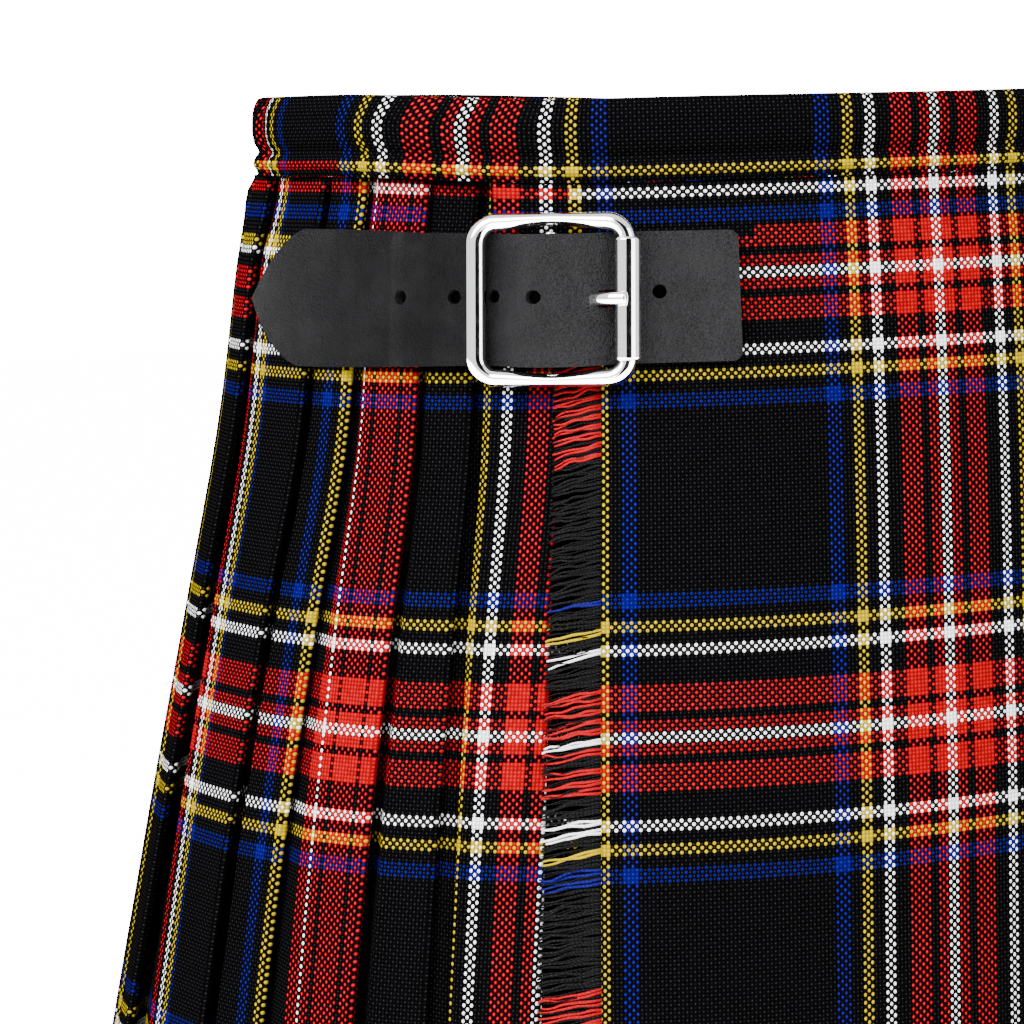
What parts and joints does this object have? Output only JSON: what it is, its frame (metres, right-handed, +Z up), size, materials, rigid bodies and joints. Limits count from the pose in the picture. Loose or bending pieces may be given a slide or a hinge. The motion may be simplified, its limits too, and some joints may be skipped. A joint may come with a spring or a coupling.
{
  "type": "scottish kilt",
  "caption": "Knee-length tartan wrap skirt in its worn, hollow shape: flat fringed over apron, knife pleats round the back, tall waistband, strap and roller buckle on the right hip.",
  "frame": {"origin": "middle of the wearer's waist, level with the middle of the strap", "axes": "+Z up, the wearer faces -Y, +X towards the wearer's left hip"},
  "size_m": [0.469, 0.3836, 0.6124],
  "materials": {
    "tartan": "plain-weave wool tartan on black, matt",
    "leather": "black grained, satin",
    "chrome": "bright plate"
  },
  "bodies": {
    "root": {"waistband": "tartan", "over_apron": "tartan", "under_apron": "tartan", "pleats_right": "tartan", "pleats_back": "tartan", "pleats_left": "tartan", "fringe": "tartan", "strap": "leather", "buckle_tab": "leather", "buckle_frame": "chrome", "buckle_centre_bar": "chrome", "buckle_roller": "chrome", "buckle_prong": "chrome"}
  },
  "joints": []
}
